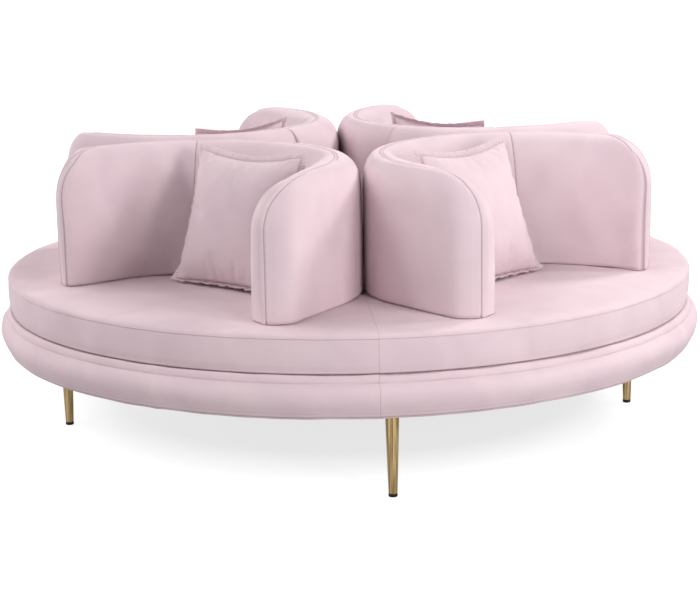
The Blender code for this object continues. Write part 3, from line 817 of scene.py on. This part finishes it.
def closed_sweep(name, sections, stitched, sewn):
    """Closed solid from sections that are closed loops, with each end filled by one face.

    Stitched and sewn lines are given as (radius, height); sewn lines, and gaps given with them, get painted shade.
    It stores how close each point is to them, and the run along the stitches for their pattern.
    """
    rows, columns = sections.shape[:2]
    points = sections.reshape(-1, 3)
    ends = [list(range(columns)), list(range((rows - 1) * columns, rows * columns))]
    piece = new_piece(name, points, grid_faces(rows, columns, wrap=True).tolist() + ends, short_pile_velvet,
                      sharp=55)
    reach = np.linalg.norm(points[:, :2], axis=1)
    for attribute, lines in (("stitched", stitched), ("seam_shade", sewn)):
        gap = np.min([np.hypot(reach - radius, points[:, 2] - height) for radius, height in lines], axis=0)
        store(piece, attribute, np.exp(-(gap / SEAM_REACH) ** 2))
    run = np.arctan2(points[:, 1], points[:, 0]) - math.atan2(points[:, 1].mean(), points[:, 0].mean())
    store(piece, "stitch_run", (run + math.pi) % (2 * math.pi) - math.pi)
    return piece


def pillow_shell():
    """Filled case of the pillow, worked out by a cloth simulation; returns its two point grids.

    Its sewn rim is held on the outline: each side draws in by its depth (top 21 mm, bottom 4, left and right 7)
    times (1 - share squared) to the power 1.25. The case starts as a dome, half the thickness times
    ((1 - u squared)(1 - v squared)) to the power 0.42, of slightly more cloth than it needs, and the pressure
    inside folds the spare cloth into wrinkles.
    """
    share = np.linspace(-1, 1, 57)
    u, v = np.meshgrid(share, share, indexing="ij")
    half_width = sizes().pillow_width / 2 - sizes().flange_width
    high, low = sizes().pillow_height / 2 - sizes().flange_width, 0.006 - sizes().pillow_height / 2
    draw = np.where(v > 0, 0.021, 0.004)
    x = u * (half_width - 0.007 * (1 - v ** 2) ** 1.25)
    z = (high + low) / 2 + v * ((high - low) / 2 - draw * np.abs(v) * (1 - u ** 2) ** 1.25)
    dome = sizes().pillow_thickness / 2 * ((1 - u ** 2) * (1 - v ** 2)) ** 0.42
    random = np.random.default_rng(7)
    start = 0.86 * dome + 0.0006 * random.random(u.shape) * (dome > 0)
    front, rear = np.stack([x, -start, z], -1), np.stack([x, start, z], -1)
    case = new_piece("pillow_case", *joined([(front, False), (rear, False)]), short_pile_velvet, merge=1e-6)
    flat = points_of(case.data)
    held = case.vertex_groups.new(name="sewn_rim")
    held.add(np.nonzero(np.abs(flat[:, 1]) < 1e-7)[0].tolist(), 1.0, "REPLACE")
    cloth = case.modifiers.new("fill", "CLOTH")
    for name, value in (("quality", 6), ("mass", 0.15), ("tension_stiffness", 12), ("compression_stiffness", 12),
                        ("shear_stiffness", 4), ("bending_stiffness", 0.2), ("vertex_group_mass", "sewn_rim"),
                        ("shrink_min", -0.035), ("use_pressure", True), ("uniform_pressure_force", 6.0),
                        ("air_damping", 4)):
        setattr(cloth.settings, name, value)
    cloth.settings.effector_weights.gravity = 0
    cloth.collision_settings.use_collision = False
    cloth.point_cache.frame_start, cloth.point_cache.frame_end = 1, SIMULATED_FRAMES
    scene = bpy.context.scene
    for step in range(1, SIMULATED_FRAMES + 1):
        scene.frame_set(step)
    blown = points_of(case.evaluated_get(bpy.context.evaluated_depsgraph_get()).data)
    scene.frame_set(1)
    blown[:, 1] *= sizes().pillow_thickness / (blown[:, 1].max() - blown[:, 1].min())
    front, rear = (blown[nearest_index(grid.reshape(-1, 3), flat)].reshape(grid.shape) for grid in (front, rear))
    mesh = case.data
    bpy.data.objects.remove(case, do_unlink=True)
    bpy.data.meshes.remove(mesh)
    return front, rear


def nearest_index(points, table):
    """Index in the table of the entry nearest to each point, 500 points at a time."""
    return np.concatenate([((points[first:first + 500, None] - table[None]) ** 2).sum(-1).argmin(1)
                           for first in range(0, len(points), 500)])


def ring_of(grid):
    """Border of a square grid as four open sides: bottom, right, top and left, each from its first corner."""
    return grid[:, 0], grid[-1], grid[::-1, -1], grid[0, ::-1]


def flange(sides, index):
    """Gathered flange round the case: one closed band whose section runs out in front and back behind.

    Along each side it folds away from the case's plane, more in the middle, and at the corners it stands out
    as an ear. Pleats 7 mm apart and slow waves displace it across by up to 1.6 and 1.2 mm, as sines of the length
    walked. It starts 3 mm inside the case.
    """
    # Directions (right, rear, up) in the middle of the sides and at the corners where they start, each corner's
    # ear reaching 45 mm along its sides, and the way into the case from each side
    folded = ((0.0, -0.97, -0.24), (0.52, 0.46, 0.0), (0.0, 0.58, 0.81), (-0.52, 0.46, 0.0))
    ears = ((-1.20, -0.25, -0.10), (1.20, -0.25, -0.10), (0.62, 0.12, 0.78), (-0.62, 0.12, 0.78))
    inwards = ((0, 0, 1), (-1, 0, 0), (0, 0, -1), (1, 0, 0))
    shares = np.linspace(0, 1, 210, endpoint=False)
    root, reach, inward = [], [], []
    for side, line in enumerate(sides):
        long = length_along(line)[-1]
        first, last = (np.clip(1 - part * long / 0.045, 0, 1)[:, None] ** 1.6 for part in (shares, 1 - shares))
        root.append(by_length(line, shares))
        reach.append(folded[side] * (1 - first - last) + ears[side] * first + ears[(side + 1) % 4] * last)
        inward.append(np.broadcast_to(inwards[side], (len(shares), 3)))
    root, reach, inward = (np.concatenate(part) for part in (root, reach, inward))
    across = unit(np.cross(np.roll(root, -1, axis=0) - np.roll(root, 1, axis=0), reach))
    walked = length_along(root)
    phase = np.random.default_rng(50 + index).uniform(0, 6.28, 5)

    def wave(long, shift):
        return np.sin(walked * 2 * math.pi / long + shift)

    pleat = wave(0.0070, 1.6 * wave(0.071, phase[0]) + 1.1 * wave(0.043, phase[1]))
    slow = wave(0.048, phase[2]) + 0.7 * wave(0.029, phase[3]) + 0.5 * wave(0.019, phase[4])
    # Lines of the section: how far out they run, half the cloth's thickness there, and how deep the pleats are
    spread = np.array([0.0, 0.0, 0.10, 0.30, 0.55, 0.80, 0.96, 1.0])
    half = np.array([0.0003, 0.0008, 0.0010, 0.0011, 0.0011, 0.0010, 0.0008, 0.0003])
    depth = np.array([0, 0.9, 1, 1, 0.9, 0.8, 0.8, 0.8])
    ripple = pleat[None] * 0.0016 * depth[:, None] + slow[None] * 0.0012 * (spread ** 0.8)[:, None]
    uneven = 1 + 0.06 * slow + 0.03 * pleat
    width = sizes().flange_width
    sheet = root[None] + width * spread[:, None, None] * uneven[None, :, None] * reach[None]
    sheet[0] += 0.003 * inward
    front, rear = (sheet + (ripple + sign * half[:, None])[..., None] * across[None] for sign in (-1, 1))
    return np.concatenate([front, rear[::-1], front[:1]])


def pillow(index, front, rear):
    """Pillow: the filled case, and the gathered flange that is sewn into its rim; it settles flat on the seat."""
    pose = np.array(pillow_pose(index))
    sides = ring_of(front)

    def standing(grid):
        return grid @ pose[:3, :3].T + pose[:3, 3]

    grids = [(standing(grid), wrap) for grid, wrap in ((front, False), (rear, False), (flange(sides, index), True))]
    for grid, _ in grids:
        height = grid[..., 2]
        grid[..., 2] = np.maximum(height, PILLOW_FOOT_HEIGHT + PILLOW_SINK * (height - PILLOW_FOOT_HEIGHT))
    piece = new_piece(f"pillow_velvet_{index + 1}", *joined(grids), short_pile_velvet, SEWN, levels=1)
    # Painted shade, at less than half strength, along the seam round the case
    mark_seams(piece, [], [standing(np.concatenate(sides))])
    return piece


def pillow_pose(index):
    """Place of a pillow: it stands on the seat and leans back against the tub."""
    out, side, turn, tilt = PILLOW_POSE[index]
    tilt = math.radians(tilt)
    half = sizes().pillow_height / 2
    place = Matrix.Translation((side, -(out - half * math.sin(tilt)), PILLOW_FOOT_HEIGHT + half * math.cos(tilt)))
    return (Matrix.Rotation(index * math.pi / 2, 4, "Z") @ place @ Matrix.Rotation(math.radians(turn), 4, "Z")
            @ Matrix.Rotation(-tilt, 4, "X"))


def turned(name, profile, centre, surface, steps=48):
    """Solid of revolution about an upright axis; profile is (radius, height) from the bottom centre to the top."""
    profile = np.asarray(profile, dtype=float)
    angle = np.linspace(0, 2 * math.pi, steps, endpoint=False)
    points = np.stack([centre[0] + profile[:, :1] * np.cos(angle), centre[1] + profile[:, :1] * np.sin(angle),
                       np.broadcast_to(profile[:, 1:], (len(profile), steps))], axis=-1)
    return new_piece(name, *joined([(points, True)]), surface, merge=1e-6, sharp=35)


def upholster(piece, body, fill, *nodes):
    """Attaches a velvet piece to its body and hides the frame's nodes that it replaces; fill, how much of it is
    stuffing, is not used.
    """
    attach(piece, body)
    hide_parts(*nodes)


class SOFA_OT_tub_backs(bpy.types.Operator):
    """Upholster the four tub backs: outer panel, border band and inner panels, drawn in at their seams"""
    bl_idname = "sofa.tub_backs"
    bl_label = "Tub Backs"

    def execute(self, context):
        for quarter in QUARTERS:
            upholster(tub_back(quarter), "sofa", 0.9, f"back_shell_{quarter}", f"back_pad_{quarter}")
        return {"FINISHED"}


class SOFA_OT_seat(bpy.types.Operator):
    """Upholster the four quarter seat cushions with their crown, edge seam and side"""
    bl_idname = "sofa.seat"
    bl_label = "Seat Cushions"

    def execute(self, context):
        for quarter in QUARTERS:
            upholster(seat_cushion(quarter), "sofa", 0.9, f"seat_cushion_{quarter}")
        return {"FINISHED"}


class SOFA_OT_base(bpy.types.Operator):
    """Upholster the base with its shoulder, seam, full side and hem"""
    bl_idname = "sofa.base"
    bl_label = "Base Covers"

    def execute(self, context):
        for quarter in QUARTERS:
            upholster(base_cover(quarter), "sofa", 0.95, f"base_cover_{quarter}")
        return {"FINISHED"}


class SOFA_OT_pillows(bpy.types.Operator):
    """Fill four pillow cases by cloth simulation, sew on their flanges and stand them in the seats"""
    bl_idname = "sofa.pillows"
    bl_label = "Pillows"

    def execute(self, context):
        front, rear = pillow_shell()
        # The same case as it is, mirrored, turned front to back, and both
        variants = ((front, rear), (front[::-1] * (-1, 1, 1), rear[::-1] * (-1, 1, 1)),
                    (rear * (1, -1, 1), front * (1, -1, 1)),
                    (rear[::-1] * (-1, -1, 1), front[::-1] * (-1, -1, 1)))
        for index, (face, back) in enumerate(variants):
            upholster(pillow(index, face, back), f"pillow_{index + 1}_body", 0.7, f"pillow_{index + 1}")
        return {"FINISHED"}


class SOFA_OT_legs(bpy.types.Operator):
    """Turn the tapered brass legs and their black foot tips"""
    bl_idname = "sofa.legs"
    bl_label = "Legs"

    def execute(self, context):
        wide, narrow = sizes().leg_top_diameter / 2, sizes().leg_foot_diameter / 2
        for quarter in QUARTERS:
            low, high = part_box(f"leg_{quarter}")
            centre = (low[0] + high[0]) / 2, (low[1] + high[1]) / 2
            bottom, top = float(low[2]) - FERRULE, float(high[2])
            leg = turned(f"turned_leg_{quarter}", [
                (0.0, bottom), (narrow - 0.0006, bottom), (narrow, bottom + 0.0006), (wide, top - 0.001),
                (wide - 0.001, top), (0.0, top)], centre, brushed_brass_satin)
            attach(leg, "sofa")
            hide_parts(f"leg_{quarter}")
            low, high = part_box(f"foot_tip_{quarter}")
            bottom, top = float(low[2]), float(high[2]) - FERRULE
            tip = turned(f"moulded_tip_{quarter}", [
                (0.0, bottom), (0.0098, bottom), (0.0112, bottom + 0.0006), (0.0120, bottom + 0.0022),
                (0.0121, top - 0.0008), (0.0115, top), (0.0, top)], centre, moulded_black_polyethylene)
            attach(tip, "sofa")
            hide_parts(f"foot_tip_{quarter}")
        return {"FINISHED"}


class SOFA_OT_frame(bpy.types.Operator):
    """Give the timber, plates, studs and dust cover of the frame their finishes"""
    bl_idname = "sofa.frame"
    bl_label = "Frame"

    def execute(self, context):
        for surface, starts in ((raw_poplar_plywood, ("back_frame", "base_box", "seat_board", "cross_beam")),
                                (zinc_plated_steel, ("leg_plate", "leg_stud")),
                                (spun_bonded_lining, ("dust_cover",))):
            for name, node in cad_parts.items():
                if name.startswith(starts):
                    node.data.materials.clear()
                    node.data.materials.append(finish(surface))
        return {"FINISHED"}


class SOFA_OT_stage(bpy.types.Operator):
    """Set up the pale floor, the soft lights and the camera"""
    bl_idname = "sofa.stage"
    bl_label = "Stage"

    def execute(self, context):
        build_floor()
        build_lights()
        build_camera()
        return {"FINISHED"}


def build_floor():
    """Wide pale floor without seams."""
    mesh = bpy.data.meshes.new("studio_floor")
    corners = [(x * FLOOR_HALF, y * FLOOR_HALF, 0) for x, y in ((-1, -1), (1, -1), (1, 1), (-1, 1))]
    mesh.from_pydata(corners, [], [(0, 1, 2, 3)])
    mesh.materials.append(finish(matt_white_floor))
    placed("studio_floor", mesh)


def studio_point(right, toward, height):
    """Point given as seen in the photograph: right of the centre, towards the camera, and up."""
    point = Matrix.Rotation(CAMERA_AZIMUTH, 4, "Z") @ Matrix.Translation((right, -toward, height))
    return tuple(point.to_translation())


def studio_way(azimuth, elevation):
    """Studio direction as its parts to the right, towards the camera and up."""
    a, e = math.radians(azimuth), math.radians(elevation)
    return math.sin(a) * math.cos(e), math.cos(a) * math.cos(e), math.sin(e)


def pose_of(place, right, up, back):
    """Matrix of an object at a place that looks away from back."""
    return Matrix([*np.column_stack([right, up, back, place]).tolist(), (0, 0, 0, 1)])


def softbox(name, place, target, power):
    """Square soft light at a place, aimed at a target."""
    light = bpy.data.lights.new(name, "AREA")
    light.shape = "SQUARE"
    light.size = SOFTBOX_SIZE
    light.energy = power
    back = unit(np.array(place) - target)
    right = unit(np.cross(UP, back))
    placed(name, light).matrix_world = pose_of(place, right, np.cross(back, right), back)


def build_lights():
    """Softboxes round the sofa, and surroundings with a few wide glows."""
    world = bpy.data.worlds.new("studio_world")
    bpy.context.scene.world = world
    world.use_nodes = True
    tree = world.node_tree
    heading = add_node(tree, "TexCoord").outputs["Generated"]
    total = 0.0
    for azimuth, elevation, strength in GLOWS:
        toward = add_node(tree, "VectorMath", {0: heading, 1: studio_point(*studio_way(azimuth, elevation))},
                          operation="DOT_PRODUCT")
        fall = maths(tree, "POWER", maths(tree, "MAXIMUM", toward.outputs["Value"], 0.0), GLOW_POWER)
        total = maths(tree, "MULTIPLY_ADD", fall, strength, total)
    # The camera sees the surroundings as plain white
    seen = add_node(tree, "LightPath").outputs["Is Camera Ray"]
    light = add_node(tree, "Mix", {0: seen, 2: total, 3: 1.0}, data_type="FLOAT").outputs[0]
    set_node(tree, tree.nodes["Background"], {"Color": (1, 1, 1, 1), "Strength": light})
    bpy.context.scene.view_settings.view_transform = "Standard"
    for name, azimuth, elevation, power in SOFTBOXES:
        right, toward, height = (SOFTBOX_REACH * part for part in studio_way(azimuth, elevation))
        softbox(name, studio_point(right, toward, SOFTBOX_AIM + height), studio_point(0, 0, SOFTBOX_AIM), power)


def build_camera():
    """Camera of the photograph: level turn, pitch and roll, then swung round to its azimuth."""
    cy, sy = math.cos(CAMERA_YAW), math.sin(CAMERA_YAW)
    cp, sp = math.cos(CAMERA_PITCH), math.sin(CAMERA_PITCH)
    cr, sr = math.cos(CAMERA_ROLL), math.sin(CAMERA_ROLL)
    ahead = np.array([sy * cp, cy * cp, -sp])
    level = np.array([cy, -sy, 0.0])
    upright = np.cross(level, ahead)
    pose = pose_of((0, -CAMERA_DISTANCE, CAMERA_HEIGHT), cr * level + sr * upright, cr * upright - sr * level,
                   -ahead)
    data = bpy.data.cameras.new("photo_camera")
    data.sensor_width = 36
    data.sensor_fit = "HORIZONTAL"
    data.lens = CAMERA_LENS
    camera = placed("photo_camera", data)
    camera.matrix_world = Matrix.Rotation(CAMERA_AZIMUTH, 4, "Z") @ pose
    bpy.context.scene.camera = camera


OPERATORS = (SOFA_OT_stage, SOFA_OT_base, SOFA_OT_seat, SOFA_OT_tub_backs, SOFA_OT_pillows, SOFA_OT_legs,
             SOFA_OT_frame)


class SOFA_PT_panel(bpy.types.Panel):
    """Sidebar panel with the sofa's sizes, colours and steps"""
    bl_idname = "SOFA_PT_panel"
    bl_label = "Round Sofa"
    bl_space_type = "VIEW_3D"
    bl_region_type = "UI"
    bl_category = "Round Sofa"

    def draw(self, context):
        for group in (context.scene.sofa_sizes, context.scene.sofa_colours):
            box = self.layout.box()
            for name in group.__annotations__:
                box.prop(group, name)
        for operator in OPERATORS:
            self.layout.operator(operator.bl_idname)


CLASSES = (SofaSizes, SofaColours, *OPERATORS, SOFA_PT_panel)


def register():
    for part in CLASSES:
        bpy.utils.register_class(part)
    bpy.types.Scene.sofa_sizes = PointerProperty(type=SofaSizes)
    bpy.types.Scene.sofa_colours = PointerProperty(type=SofaColours)


def unregister():
    del bpy.types.Scene.sofa_colours
    del bpy.types.Scene.sofa_sizes
    for part in reversed(CLASSES):
        bpy.utils.unregister_class(part)


def main():
    register()
    for operator in OPERATORS:
        group, name = operator.bl_idname.split(".")
        getattr(getattr(bpy.ops, group), name)()


if __name__ == "__main__":
    main()
